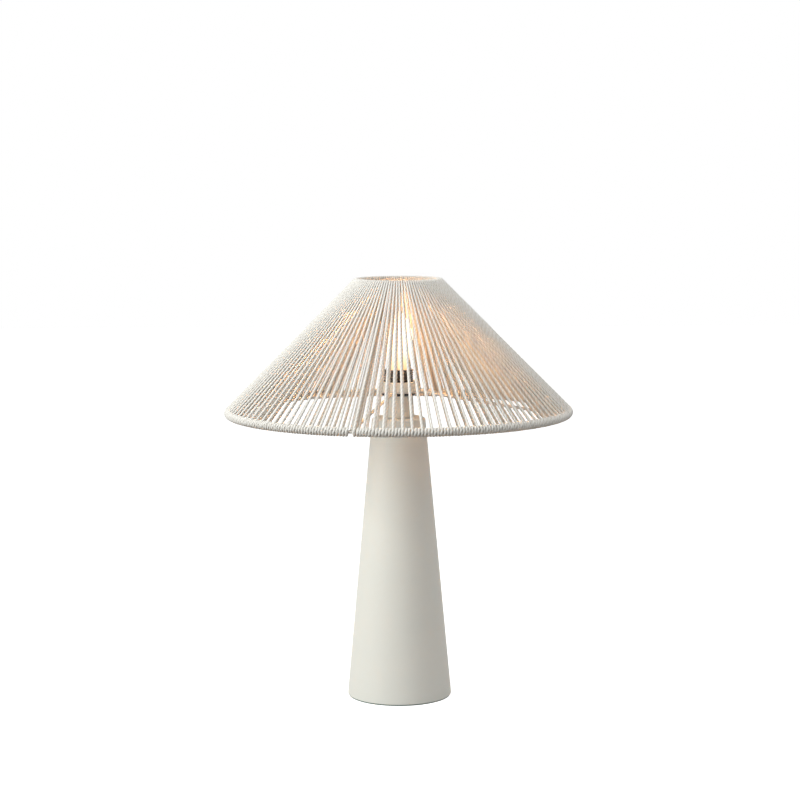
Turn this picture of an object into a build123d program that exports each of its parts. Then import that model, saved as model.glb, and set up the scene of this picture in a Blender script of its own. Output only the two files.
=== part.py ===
from build123d import *
import math
import os

# Table lamp with a cord-wound cone shade. Sizes are in millimetres and angles in degrees.
# The origin is the middle of the foot, +Z is up and +Y is the back, where the mains cord enters.

# Heights and radii of the visible shape
pad_thickness = 1.5
pad_inset = 0.8
base_foot_radius = 67.5
base_top_radius = 34.5
base_height = 363.5
base_wall = 2.0
base_edge_radius = 4.0
shade_bottom_height = 373.0
shade_top_height = 540.0
bottom_ring_radius = 218.9
top_ring_radius = 54.0
wire_radius = 2.0
cord_diameter = 4.0

# Cord winding
strand_count = 120
sector_count = 12
rib_count = 4
first_rib_angle = -15.0
top_outer_strand_radius = 1.45
top_inner_strand_radius = 1.25
wrap_clearance = 0.25
strand_stand_off = 0.1
strand_end_trim = 1.0
wrap_gap_at_rib = 4.8

# Clearances between pieces
seat_clearance = 0.25
weld_gap = 0.1
running_clearance = 0.3

# Foot plate, ballast and cord entry
foot_plate_thickness = 2.0
ballast_thickness = 30.0
ballast_recess_radius = 20.0
ballast_recess_depth = 20.0
ballast_edge_chamfer = 1.5
cord_channel_width = 16.0
cord_channel_depth = 18.0
inlet_height = 14.0
inlet_bore_radius = 3.4
grommet_neck_radius = 5.0
grommet_flange_radius = 7.0
grommet_flange_depth = 2.5
foot_screw_count = 3
first_foot_screw_angle = 30.0
foot_screw_circle = 42.0
foot_screw_radius = 2.0
foot_screw_head_radius = 3.6
foot_screw_head_height = 1.6
foot_screw_length = 12.0
screw_hole_run_out = 1.0

# Threaded tube and its hardware
stem_radius = 5.0
stem_bore_radius = 4.0
stem_end_past_nut = 1.0
stem_bottom_washer_radius = 15.0
stem_bottom_washer_thickness = 2.0
stem_nut_flats = 17.0
stem_bottom_nut_height = 5.0
stem_top_washer_radius = 10.0
stem_top_washer_thickness = 1.5
stem_top_nut_height = 4.0
stem_top_reach = 8.0

# Cup on the base, round the lampholder
cup_height = 29.0
cup_foot_radius = 20.5
cup_rim_radius = 18.6
cup_wall = 1.2
cup_floor = 2.0
cup_foot_rounding = 1.0

# Lampholder
holder_collar_radius = 8.0
holder_dome_height = 6.0
holder_cap_radius = 16.6
holder_cap_wall = 2.0
holder_cap_height = 22.0
barrel_radius = 19.25
barrel_bore_radius = 17.3
barrel_flange_radius = 22.5
barrel_flange_height = 4.0
barrel_height = 33.0
barrel_lip_thickness = 2.0
barrel_lip_bore_radius = 15.0
insert_flange_radius = 16.9
insert_flange_height = 3.5
insert_plug_height = 9.0
insert_plug_radius = 14.3
thread_shell_radius = 13.5
thread_shell_wall = 0.5
thread_shell_height = 20.0
terminal_spacing = 18.0
terminal_screw_radius = 1.8
terminal_head_radius = 3.0
terminal_head_height = 2.2
terminal_screw_length = 6.0
contact_strip_width = 6.0
contact_strip_length = 18.0
contact_strip_thickness = 0.8
contact_rise = 3.0
set_screw_radius = 1.5
set_screw_head_radius = 2.4

# Clamping ring and carrier ring of the shade
ring_bore_radius = 19.55
ring_flange_radius = 27.8
ring_flange_height = 3.5
ring_body_radius = 26.6
ring_height = 11.5
ring_edge_rounding = 0.8
spider_bore_radius = 20.0
spider_radius = 28.5
spider_thickness = 2.0

# Bulb
bulb_contact_radius = 4.5
bulb_contact_height = 1.6
bulb_insulator_height = 4.0
bulb_insulator_radius = 11.5
bulb_cap_radius = 13.2
bulb_cap_wall = 0.6
bulb_cap_height = 19.5
bulb_housing_height = 22.0
bulb_housing_radius = 16.0
bulb_housing_wall = 1.5
bulb_housing_foot_slope = 0.1
bulb_housing_rim_slope = 0.25
bulb_dome_radius = 18.5
bulb_dome_height = 53.0
bulb_dome_widest = 19.0
bulb_dome_wall = 1.2
bulb_dome_fullness = 0.5
bulb_tip_bluntness = 0.3
bulb_board_radius = 14.0
bulb_board_thickness = 1.6
bulb_chip_count = 8
bulb_chip_circle = 9.0
bulb_chip_size = 2.8
bulb_chip_height = 0.8

# Heights that follow from the sizes above
foot_plate_top = pad_thickness + foot_plate_thickness
base_top = pad_thickness + base_height
ballast_top = foot_plate_top + ballast_thickness
recess_ceiling = foot_plate_top + ballast_recess_depth
cup_top = base_top + cup_height
stem_nut_seat = base_top + cup_floor + stem_top_washer_thickness
holder_floor = stem_nut_seat + stem_top_nut_height + weld_gap
holder_cap_top = holder_floor + holder_cap_height
stem_top = holder_floor + stem_top_reach
barrel_seat = cup_top + barrel_flange_height
barrel_top = cup_top + barrel_height
spider_top = barrel_seat + spider_thickness
insert_floor = holder_cap_top + insert_flange_height
insert_top = barrel_top - barrel_lip_thickness
bulb_bottom = insert_floor + contact_rise + contact_strip_thickness + running_clearance
bulb_cap_bottom = bulb_bottom + bulb_contact_height + bulb_insulator_height
bulb_cap_top = bulb_cap_bottom + bulb_cap_height
bulb_housing_top = bulb_cap_top + bulb_housing_height

# Radii that follow from the sizes above
bottom_wrap_radius = wire_radius + strand_stand_off + cord_diameter
top_wrap_radius = wire_radius + strand_stand_off + 2 * top_outer_strand_radius
base_taper = (base_foot_radius - base_top_radius) / base_height
wall_across = base_wall * math.hypot(1, base_taper)
standing = (Align.CENTER, Align.CENTER, Align.MIN)
outwards_at_back = Rot(X=-90)


def base_radius(height):
    """Outer radius of the base at a height above the table."""
    return base_foot_radius - base_taper * (height - pad_thickness)


def base_cone(low, high, inset):
    """Solid cone between two heights, inset from the outer surface of the base."""
    low_radius = base_radius(low) - inset
    high_radius = base_radius(high) - inset
    return Pos(0, 0, low) * Cone(low_radius, high_radius, high - low, align=standing)


def disc(radius, low, high):
    """Upright cylinder on the lamp's axis between two heights."""
    return Pos(0, 0, low) * Cylinder(radius, high - low, align=standing)


def turned(points):
    """Solid of revolution from (radius, height) points."""
    outline = Polyline(*[(radius, 0, height) for radius, height in points], close=True)
    return revolve(make_face(outline), Axis.Z)


def tube(outer_radius, bore_radius, low, high):
    """Upright tube on the lamp's axis."""
    return disc(outer_radius, low, high) - disc(bore_radius, low, high)


def around(count, radius, start=0.0):
    """Places evenly spaced on a circle about the lamp's axis."""
    return [Rot(Z=start + 360 * index / count) * Pos(radius, 0, 0) for index in range(count)]


def hex_nut(flats, height, low):
    """Hexagon nut on the threaded tube."""
    corner_radius = flats / math.sqrt(3)
    blank = extrude(RegularPolygon(corner_radius, 6), height)
    return Pos(0, 0, low) * blank - disc(stem_radius + seat_clearance, low, low + height)


def between(start, end, start_radius, end_radius):
    """Round rod between two points, given as vectors."""
    path = end - start
    if start_radius == end_radius:
        rod = Cylinder(start_radius, path.length, align=standing)
    else:
        rod = Cone(start_radius, end_radius, path.length, align=standing)
    return Plane(origin=start, z_dir=path) * rod


def felt_pad():
    return disc(base_foot_radius - pad_inset, 0, pad_thickness)


def foot_plate():
    radius = base_radius(foot_plate_top) - wall_across - seat_clearance
    plate = disc(radius, pad_thickness, foot_plate_top)
    seat_radius = foot_screw_head_radius + weld_gap
    hole_radius = foot_screw_radius + seat_clearance
    for place in around(foot_screw_count, foot_screw_circle, first_foot_screw_angle):
        plate -= place * disc(hole_radius, pad_thickness, foot_plate_top)
        sink = Cone(seat_radius, hole_radius, foot_screw_head_height, align=standing)
        plate -= place * Pos(0, 0, pad_thickness) * sink
    return plate


def foot_plate_screws():
    screws = []
    for place in around(foot_screw_count, foot_screw_circle, first_foot_screw_angle):
        head = Cone(foot_screw_head_radius, foot_screw_radius, foot_screw_head_height, align=standing)
        shank = Cylinder(foot_screw_radius, foot_screw_length, align=standing)
        screws.append(place * Pos(0, 0, pad_thickness) * (head + shank))
    return Compound(children=[screw.solid() for screw in screws])


def ballast():
    inset = wall_across + seat_clearance
    weight = base_cone(foot_plate_top, ballast_top, inset)
    weight = chamfer(weight.edges().filter_by(GeomType.CIRCLE), ballast_edge_chamfer)
    weight -= disc(stem_radius + seat_clearance, foot_plate_top, ballast_top)
    weight -= disc(ballast_recess_radius, foot_plate_top, recess_ceiling)
    channel_length = base_foot_radius
    channel = Box(cord_channel_width, channel_length, cord_channel_depth,
                  align=(Align.CENTER, Align.MIN, Align.MIN))
    weight -= Pos(0, 0, foot_plate_top) * channel
    hole_top = pad_thickness + foot_screw_length + screw_hole_run_out
    for place in around(foot_screw_count, foot_screw_circle, first_foot_screw_angle):
        weight -= place * disc(foot_screw_radius + seat_clearance, foot_plate_top, hole_top)
    return weight


def base_shell():
    outer = base_cone(pad_thickness, base_top, 0)
    outer = fillet(outer.edges().sort_by(Axis.Z)[-1], base_edge_radius)
    inner = base_cone(pad_thickness, base_top - base_wall, wall_across)
    inner = fillet(inner.edges().sort_by(Axis.Z)[-1], base_edge_radius - base_wall)
    shell = outer - inner
    shell -= disc(stem_radius + seat_clearance, base_top - 2 * base_wall, base_top)
    entry = Cylinder(grommet_neck_radius + weld_gap, base_foot_radius, align=standing)
    return shell - Pos(0, 0, inlet_height) * outwards_at_back * entry


def cord_grommet():
    """Bush with a flange each side of the wall, which its neck passes through."""
    inner_face = base_radius(inlet_height) - wall_across - grommet_flange_depth
    length = wall_across + 2 * grommet_flange_depth
    place = Pos(0, inner_face, inlet_height) * outwards_at_back
    body = place * Cylinder(grommet_flange_radius, length, align=standing)
    low = pad_thickness
    high = inlet_height + 2 * grommet_flange_radius
    gap = seat_clearance
    wall = base_cone(low, high, -gap) - base_cone(low, high, wall_across + gap)
    neck = place * Cylinder(grommet_neck_radius, length, align=standing)
    bush = body - wall + neck
    return bush - place * Cylinder(inlet_bore_radius, length, align=standing)


def stem_tube():
    nut_face = recess_ceiling - stem_bottom_washer_thickness - stem_bottom_nut_height
    low = nut_face - stem_end_past_nut
    return tube(stem_radius, stem_bore_radius, low, stem_top)


def stem_bottom_washer():
    low = recess_ceiling - stem_bottom_washer_thickness
    return tube(stem_bottom_washer_radius, stem_radius + seat_clearance, low, recess_ceiling)


def stem_bottom_nut():
    low = recess_ceiling - stem_bottom_washer_thickness - stem_bottom_nut_height
    return hex_nut(stem_nut_flats, stem_bottom_nut_height, low)


def stem_top_washer():
    low = base_top + cup_floor
    return tube(stem_top_washer_radius, stem_radius + seat_clearance, low, stem_nut_seat)


def stem_top_nut():
    return hex_nut(stem_nut_flats, stem_top_nut_height, stem_nut_seat)


def neck_cup():
    inner_foot = cup_foot_radius - cup_wall
    inner_rim = cup_rim_radius - cup_wall
    cup = turned([
        (stem_radius + seat_clearance, base_top),
        (cup_foot_radius - cup_foot_rounding, base_top),
        (cup_foot_radius, base_top + cup_foot_rounding),
        (cup_rim_radius, cup_top),
        (inner_rim, cup_top),
        (inner_foot, base_top + cup_floor),
        (stem_radius + seat_clearance, base_top + cup_floor),
    ])
    return cup


def set_screw_height():
    return holder_floor + holder_dome_height / 2


def holder_cap():
    """Lower half of the lampholder: a threaded collar that opens into a cup."""
    inner_radius = holder_cap_radius - holder_cap_wall
    dome_top = holder_floor + holder_dome_height
    cap = turned([
        (stem_radius + seat_clearance, holder_floor),
        (holder_collar_radius, holder_floor),
        (holder_collar_radius, dome_top),
        (holder_cap_radius, dome_top + holder_cap_wall),
        (holder_cap_radius, holder_cap_top),
        (inner_radius, holder_cap_top),
        (inner_radius, dome_top + 2 * holder_cap_wall),
        (holder_collar_radius, dome_top + holder_cap_wall),
        (stem_radius + seat_clearance, dome_top + holder_cap_wall),
    ])
    bore = Cylinder(set_screw_radius + weld_gap, holder_cap_radius, align=standing)
    return cap - Pos(0, 0, set_screw_height()) * Rot(Y=90) * bore


def holder_set_screw():
    """Set screw across the collar, with its tip on the threaded tube."""
    tip = stem_radius + weld_gap
    place = Rot(Y=90)
    shank_length = holder_collar_radius + weld_gap - tip
    shank = Pos(tip, 0, set_screw_height()) * place * Cylinder(set_screw_radius, shank_length, align=standing)
    head_low = holder_collar_radius + weld_gap
    head = Cylinder(set_screw_head_radius, set_screw_radius, align=standing)
    return shank + Pos(head_low, 0, set_screw_height()) * place * head


def holder_barrel():
    """Upper half of the lampholder: flange for the shade, barrel and top lip."""
    return turned([
        (barrel_bore_radius, cup_top),
        (barrel_flange_radius, cup_top),
        (barrel_flange_radius, barrel_seat),
        (barrel_radius, barrel_seat),
        (barrel_radius, barrel_top),
        (barrel_lip_bore_radius, barrel_top),
        (barrel_lip_bore_radius, insert_top),
        (barrel_bore_radius, insert_top),
    ])


def terminal_places():
    return around(2, terminal_spacing / 2)


def holder_insert():
    """Contact block: a plug inside the cap, a flange on its rim and a sleeve for the screw shell."""
    sleeve_bore = thread_shell_radius + thread_shell_wall + seat_clearance
    block = turned([
        (0, holder_cap_top - insert_plug_height),
        (insert_plug_radius, holder_cap_top - insert_plug_height),
        (insert_plug_radius, holder_cap_top),
        (insert_flange_radius, holder_cap_top),
        (insert_flange_radius, insert_top),
        (sleeve_bore, insert_top),
        (sleeve_bore, insert_floor),
        (0, insert_floor),
    ])
    low = holder_cap_top - insert_plug_height
    hole_top = low + terminal_screw_length + screw_hole_run_out
    for place in terminal_places():
        block -= place * disc(terminal_screw_radius + seat_clearance, low, hole_top)
    return block


def terminal_screws():
    low = holder_cap_top - insert_plug_height
    screws = []
    for place in terminal_places():
        head = disc(terminal_head_radius, low - terminal_head_height, low)
        shank = disc(terminal_screw_radius, low, low + terminal_screw_length)
        screws.append(place * (head + shank))
    return Compound(children=[screw.solid() for screw in screws])


def thread_shell():
    return tube(thread_shell_radius + thread_shell_wall, thread_shell_radius, insert_floor,
                insert_floor + thread_shell_height)


def centre_contact():
    """Brass strip that lies on the contact block, with a tongue bent up under the bulb."""
    half = contact_strip_length / 2
    top = insert_floor + contact_rise
    leaf = contact_strip_thickness
    outline = Polyline(
        (-half, 0, insert_floor), (0, 0, insert_floor), (half, 0, top), (half, 0, top + leaf),
        (-half / 2, 0, top + leaf), (-half / 2, 0, top), (half / 2, 0, top),
        (-leaf, 0, insert_floor + leaf), (-half, 0, insert_floor + leaf), close=True)
    return extrude(make_face(outline), contact_strip_width / 2, both=True)


def retaining_ring():
    low = spider_top
    ring = turned([
        (ring_bore_radius, low),
        (ring_flange_radius, low),
        (ring_flange_radius, low + ring_flange_height),
        (ring_body_radius, low + ring_flange_height),
        (ring_body_radius, low + ring_height),
        (ring_bore_radius, low + ring_height),
    ])
    rims = ring.edges().group_by(Axis.Z)[-1].sort_by(SortBy.LENGTH)[-1]
    return fillet(rims, ring_edge_rounding)


def spider_ring():
    return tube(spider_radius, spider_bore_radius, barrel_seat, spider_top)


def ring_wire(radius, height, wire, sweep=360.0):
    """Ring of round section about the lamp's axis."""
    section = Plane.XZ.shift_origin((radius, 0, height)) * Circle(wire)
    return revolve(section, Axis.Z, sweep)


def bottom_ring_point():
    return Vector(bottom_ring_radius, 0, shade_bottom_height)


def top_ring_point():
    return Vector(top_ring_radius, 0, shade_top_height)


def rib_rod(radius):
    return between(bottom_ring_point(), top_ring_point(), radius, radius)


def arm_rod(radius):
    inner_end = Vector(0, 0, (barrel_seat + spider_top) / 2)
    return between(inner_end, bottom_ring_point(), radius, radius)


def shade_bottom_ring():
    return ring_wire(bottom_ring_radius, shade_bottom_height, wire_radius)


def shade_top_ring():
    return ring_wire(top_ring_radius, shade_top_height, wire_radius)


def shade_rib():
    """Straight wire between the rings, with its ends cut to lie on them."""
    seat = wire_radius + weld_gap
    rib = rib_rod(wire_radius) - ring_wire(bottom_ring_radius, shade_bottom_height, seat)
    return rib - ring_wire(top_ring_radius, shade_top_height, seat)


def spider_arm():
    """Wire from the carrier ring down to the foot of a rib on the bottom ring."""
    seat = wire_radius + weld_gap
    reach = spider_radius + weld_gap
    arm = arm_rod(wire_radius) - disc(reach, barrel_seat - reach, spider_top + reach)
    arm -= ring_wire(bottom_ring_radius, shade_bottom_height, seat)
    arm -= rib_rod(seat)
    return arm.solids().sort_by(SortBy.VOLUME)[-1]


def strand(side, bottom_radius, top_radius):
    """Straight stretch of cord from ring to ring, outside them for side 1 and inside for side -1."""
    along = (top_ring_point() - bottom_ring_point()).normalized()
    across = Vector(along.Z, 0, -along.X) * side
    bottom_offset = wire_radius + strand_stand_off + bottom_radius
    top_offset = wire_radius + strand_stand_off + top_radius
    start = bottom_ring_point() + across * bottom_offset + along * strand_end_trim
    end = top_ring_point() + across * top_offset - along * strand_end_trim
    return between(start, end, bottom_radius, top_radius)


def wrap(radius, height, outer_radius, start, sweep):
    """Sleeve of cord turns round a ring wire, over part of the ring."""
    sleeve = ring_wire(radius, height, outer_radius, sweep)
    return Rot(Z=start) * (sleeve - ring_wire(radius, height, wire_radius + wrap_clearance))


def shade_cord(rib_at_start, rib_at_end):
    """One sector of the winding: the turns on both rings with the strands between them."""
    sweep = 360 / sector_count
    rib_margin = math.degrees(wrap_gap_at_rib / 2 / bottom_ring_radius)
    start = rib_margin if rib_at_start else 0.0
    end = sweep - rib_margin if rib_at_end else sweep
    foot = wrap(bottom_ring_radius, shade_bottom_height, bottom_wrap_radius, start, end - start)
    head = wrap(top_ring_radius, shade_top_height, top_wrap_radius, 0, sweep)
    hole = rib_rod(wire_radius + seat_clearance)
    if rib_at_start:
        head -= hole
    if rib_at_end:
        head -= Rot(Z=sweep) * hole
    strands = []
    pitch = 360 / strand_count
    for index in range(strand_count // sector_count):
        turn = Rot(Z=(index + 0.5) * pitch)
        strands.append(turn * strand(1, cord_diameter / 2, top_outer_strand_radius))
        strands.append(turn * strand(-1, cord_diameter / 2, top_inner_strand_radius))
    return foot.fuse(head, *strands)


def bulb_contact():
    return disc(bulb_contact_radius, bulb_bottom, bulb_bottom + bulb_contact_height)


def bulb_insulator():
    cone = Cone(bulb_contact_radius, bulb_insulator_radius, bulb_insulator_height, align=standing)
    return Pos(0, 0, bulb_bottom + bulb_contact_height) * cone


def bulb_cap():
    """Screw shell of the bulb, closed below by the insulator."""
    floor = bulb_cap_bottom + bulb_cap_wall
    inner = bulb_cap_radius - bulb_cap_wall
    return turned([
        (0, bulb_cap_bottom),
        (bulb_insulator_radius, bulb_cap_bottom),
        (bulb_cap_radius, bulb_cap_bottom + 2 * bulb_cap_wall),
        (bulb_cap_radius, bulb_cap_top),
        (inner, bulb_cap_top),
        (inner, bulb_cap_bottom + 2 * bulb_cap_wall),
        (0, floor),
    ])


def bulb_housing():
    """Opaque body that widens from the cap to the dome."""
    low = bulb_cap_top
    high = bulb_housing_top
    bore = bulb_cap_radius - bulb_housing_wall
    flare = Spline((bulb_cap_radius, 0, low), (bulb_housing_radius, 0, high),
                   tangents=[(bulb_housing_foot_slope, 0, 1), (bulb_housing_rim_slope, 0, 1)])
    outline = flare + Polyline(
        flare @ 1, (bulb_board_radius, 0, high), (bulb_board_radius, 0, high - bulb_board_thickness),
        (bore, 0, high - bulb_board_thickness), (bore, 0, low), flare @ 0)
    return revolve(make_face(outline), Axis.Z)


def dome_curve(inset):
    """Half outline of the dome: an arc from its rim to its widest point, then a curve to the tip."""
    widest = bulb_housing_top + bulb_dome_widest
    tip = bulb_housing_top + bulb_dome_height - inset
    radius = bulb_dome_radius - inset
    rise = (tip - widest) * bulb_dome_fullness
    belly = TangentArc((radius, 0, widest), (bulb_housing_radius - inset, 0, bulb_housing_top),
                       tangent=(0, 0, -1))
    flame = Bezier((radius, 0, widest), (radius, 0, widest + rise),
                   (radius * bulb_tip_bluntness, 0, tip), (0, 0, tip))
    return belly, flame


def bulb_dome():
    outer_belly, outer_flame = dome_curve(0)
    inner_belly, inner_flame = dome_curve(bulb_dome_wall)
    rim = Line(outer_belly @ 1, inner_belly @ 1)
    tip = Line(outer_flame @ 1, inner_flame @ 1)
    outline = outer_belly + outer_flame + tip + inner_flame + inner_belly + rim
    return revolve(make_face(outline), Axis.Z)


def bulb_led_board():
    """Round board in the top of the housing, with its light sources."""
    low = bulb_housing_top - bulb_board_thickness
    board = disc(bulb_board_radius - seat_clearance, low, bulb_housing_top)
    chips = []
    for place in around(bulb_chip_count, bulb_chip_circle):
        chip = Box(bulb_chip_size, bulb_chip_size, bulb_chip_height, align=standing)
        chips.append(place * Pos(0, 0, bulb_housing_top) * chip)
    return board.fuse(*chips)


def save(name, shape):
    shape.label = name
    export_step(shape, f"parts/{name}.step")


def save_around(name, shape, count):
    """Saves copies of one piece at each rib's angle, numbered from 1."""
    for index in range(count):
        save(f"{name}_{index + 1}", Rot(Z=first_rib_angle + index * 360 / count) * shape)


def save_winding():
    """Saves the sectors of the winding, three kinds that follow each other from rib to rib."""
    sectors_per_rib = sector_count // rib_count
    kinds = [shade_cord(place == 0, place == sectors_per_rib - 1) for place in range(sectors_per_rib)]
    for index in range(sector_count):
        angle = first_rib_angle + index * 360 / sector_count
        save(f"shade_cord_{index + 1:02d}", Rot(Z=angle) * kinds[index % sectors_per_rib])


def main():
    os.makedirs("parts", exist_ok=True)
    single_pieces = [
        felt_pad, foot_plate, foot_plate_screws, ballast, base_shell, cord_grommet,
        stem_tube, stem_bottom_washer, stem_bottom_nut, stem_top_washer, stem_top_nut, neck_cup,
        holder_cap, holder_set_screw, holder_barrel, holder_insert, terminal_screws, thread_shell,
        centre_contact, retaining_ring, spider_ring, shade_bottom_ring, shade_top_ring,
        bulb_contact, bulb_insulator, bulb_cap, bulb_housing, bulb_dome, bulb_led_board,
    ]
    for piece in single_pieces:
        save(piece.__name__, piece())
    save_around("spider_arm", spider_arm(), rib_count)
    save_around("shade_rib", shade_rib(), rib_count)
    save_winding()


main()
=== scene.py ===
import bmesh
import bpy
import math
import random
from mathutils import Matrix, Vector


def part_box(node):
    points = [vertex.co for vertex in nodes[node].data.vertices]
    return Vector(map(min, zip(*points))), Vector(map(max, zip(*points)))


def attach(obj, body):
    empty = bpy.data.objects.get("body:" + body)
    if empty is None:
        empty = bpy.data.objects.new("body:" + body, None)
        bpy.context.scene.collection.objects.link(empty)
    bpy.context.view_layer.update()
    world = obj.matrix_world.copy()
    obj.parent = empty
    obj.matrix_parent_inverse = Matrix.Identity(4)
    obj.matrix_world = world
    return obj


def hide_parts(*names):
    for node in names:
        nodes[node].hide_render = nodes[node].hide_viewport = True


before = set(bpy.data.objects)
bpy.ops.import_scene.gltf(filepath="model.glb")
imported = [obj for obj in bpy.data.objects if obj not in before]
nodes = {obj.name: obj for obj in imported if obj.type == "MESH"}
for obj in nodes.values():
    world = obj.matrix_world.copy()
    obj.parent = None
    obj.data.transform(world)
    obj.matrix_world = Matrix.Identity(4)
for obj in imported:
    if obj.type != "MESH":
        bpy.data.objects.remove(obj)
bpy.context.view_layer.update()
scene = bpy.context.scene
print("frame loaded:", len(nodes), "nodes")


# Sizes read from the frame

def top(node):
    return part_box(node)[1].z


def bottom(node):
    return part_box(node)[0].z


def reach(node):
    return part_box(node)[1].x


# Node trees

class Wire:
    # An output socket. Arithmetic on it adds Math nodes to its tree.
    def __init__(self, tree, socket):
        self.tree = tree
        self.socket = socket

    def maths(self, operation, *others):
        values = dict(enumerate((self,) + others))
        return self.tree.add("ShaderNodeMath", {"operation": operation}, values)

    def reflected(self, operation, other):
        return self.tree.add("ShaderNodeMath", {"operation": operation}, {0: other, 1: self})

    def __add__(self, other):
        return self.maths("ADD", other)

    def __radd__(self, other):
        return self.reflected("ADD", other)

    def __sub__(self, other):
        return self.maths("SUBTRACT", other)

    def __rsub__(self, other):
        return self.reflected("SUBTRACT", other)

    def __mul__(self, other):
        return self.maths("MULTIPLY", other)

    def __rmul__(self, other):
        return self.reflected("MULTIPLY", other)

    def __truediv__(self, other):
        return self.maths("DIVIDE", other)

    def __rtruediv__(self, other):
        return self.reflected("DIVIDE", other)

    def __pow__(self, other):
        return self.maths("POWER", other)


class Tree:
    # A node tree, filled by one method that takes a node's type, settings and sockets.
    def __init__(self, nodeTree):
        self.nodeTree = nodeTree
        nodeTree.nodes.clear()

    def add(self, kind, settings=None, sockets=None, output=0):
        node = self.nodeTree.nodes.new(kind)
        for name, value in (settings or {}).items():
            if name == "stops":
                self.setStops(node.color_ramp, value)
            else:
                setattr(node, name, value)
        for name, value in (sockets or {}).items():
            if isinstance(value, Wire):
                self.nodeTree.links.new(value.socket, node.inputs[name])
            else:
                node.inputs[name].default_value = value
        if not node.outputs:
            return node
        return Wire(self, node.outputs[output])

    def setStops(self, ramp, stops):
        while len(ramp.elements) < len(stops):
            ramp.elements.new(1.0)
        for element, (position, colour) in zip(ramp.elements, stops):
            element.position = position
            element.color = (*colour, 1.0)

    def noise(self, scale, detail=2.0, vector=None, roughness=0.5):
        sockets = {"Scale": scale, "Detail": detail, "Roughness": roughness}
        sockets["Vector"] = vector or self.coordinates()
        return self.add("ShaderNodeTexNoise", None, sockets)

    def coordinates(self):
        return self.add("ShaderNodeTexCoord", output="Object")

    def vector(self, x=0.0, y=0.0, z=0.0):
        return self.add("ShaderNodeCombineXYZ", None, {"X": x, "Y": y, "Z": z})

    def height(self, vector=None):
        sockets = {"Vector": vector or self.coordinates()}
        return self.add("ShaderNodeSeparateXYZ", None, sockets, output="Z")

    def attribute(self, name):
        return self.add("ShaderNodeAttribute", {"attribute_name": name}, output="Fac")

    def mix(self, factor, first, second):
        colours = [value if isinstance(value, Wire) else (*value, 1.0) for value in (first, second)]
        return self.add("ShaderNodeMix", {"data_type": "RGBA"},
                        {0: factor, 6: colours[0], 7: colours[1]}, output=2)

    def bump(self, height, distance):
        return self.add("ShaderNodeBump", None, {"Height": height, "Distance": distance, "Strength": 1.0})

    def surface(self, colour, roughness, normal=None, **others):
        sockets = {"Roughness": roughness}
        sockets["Base Color"] = colour if isinstance(colour, Wire) else (*colour, 1.0)
        if normal:
            sockets["Normal"] = normal
        sockets.update({name.replace("_", " "): value for name, value in others.items()})
        return self.add("ShaderNodeBsdfPrincipled", None, sockets)


def makeMaterial(name, build):
    material = bpy.data.materials.new(name)
    material.use_nodes = True
    tree = Tree(material.node_tree)
    tree.add("ShaderNodeOutputMaterial", None, {"Surface": build(tree)})
    return material


# Finishes

def powderCoat(name, light, dark, roughness=0.6):
    grain = {"patches": 9.0, "patchShare": 0.7, "peel": 620.0, "peelDepth": 0.00006, "unevenness": 0.12}

    def build(tree):
        patches = tree.noise(grain["patches"], 3.0)
        peel = tree.noise(grain["peel"], 3.0)
        tone = patches * grain["patchShare"] + peel * (1 - grain["patchShare"])
        rough = roughness + (peel - 0.5) * grain["unevenness"]
        return tree.surface(tree.mix(tone, dark, light), rough, tree.bump(peel, grain["peelDepth"]))
    return makeMaterial(name, build)


def mouldedPlastic(name, colour, shade, roughness):
    grain = {"clouds": 45.0, "unevenness": 0.16, "fine": 2400.0, "fineDepth": 0.00002}

    def build(tree):
        cloud = tree.noise(grain["clouds"], 4.0)
        fine = tree.noise(grain["fine"], 2.0)
        rough = roughness + (cloud - 0.5) * grain["unevenness"]
        return tree.surface(tree.mix(cloud, shade, colour), rough, tree.bump(fine, grain["fineDepth"]))
    return makeMaterial(name, build)


def bareMetal(name, bright, dull, roughness=0.3):
    grain = {
        "stretch": (1.0, 1.0, 14.0), "streaks": 260.0, "streakDepth": 0.00001, "unevenness": 0.18,
        "tarnish": 60.0,
    }

    def build(tree):
        drawn = tree.add("ShaderNodeMapping", None,
                         {"Vector": tree.coordinates(), "Scale": grain["stretch"]})
        streaks = tree.noise(grain["streaks"], 4.0, drawn)
        colour = tree.mix(tree.noise(grain["tarnish"], 3.0), dull, bright)
        rough = roughness + streaks * grain["unevenness"]
        return tree.surface(colour, rough, tree.bump(streaks, grain["streakDepth"]), Metallic=1.0)
    return makeMaterial(name, build)


def castIron(name):
    look = {
        "iron": (0.055, 0.055, 0.058), "rust": (0.13, 0.07, 0.045), "rustPatches": 24.0, "rustEdge": 3.0,
        "grains": 380.0, "grainDepth": 0.0004, "roughness": 0.62, "unevenness": 0.25, "metallic": 0.35,
    }

    def build(tree):
        grains = tree.noise(look["grains"], 5.0)
        rust = tree.noise(look["rustPatches"], 4.0) ** look["rustEdge"]
        colour = tree.mix(rust, look["iron"], look["rust"])
        rough = look["roughness"] + grains * look["unevenness"]
        return tree.surface(colour, rough, tree.bump(grains, look["grainDepth"]), Metallic=look["metallic"])
    return makeMaterial(name, build)


def glazedClay(name):
    look = {
        "glaze": (0.80, 0.79, 0.75), "speck": (0.45, 0.42, 0.36), "specks": 900.0, "speckEdge": 8.0,
        "waves": 120.0, "waveDepth": 0.00008, "roughness": 0.22, "coat": 0.4,
    }

    def build(tree):
        specks = tree.noise(look["specks"], 2.0) ** look["speckEdge"]
        colour = tree.mix(specks, look["glaze"], look["speck"])
        normal = tree.bump(tree.noise(look["waves"], 2.0), look["waveDepth"])
        return tree.surface(colour, look["roughness"], normal, Coat_Weight=look["coat"])
    return makeMaterial(name, build)


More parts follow.
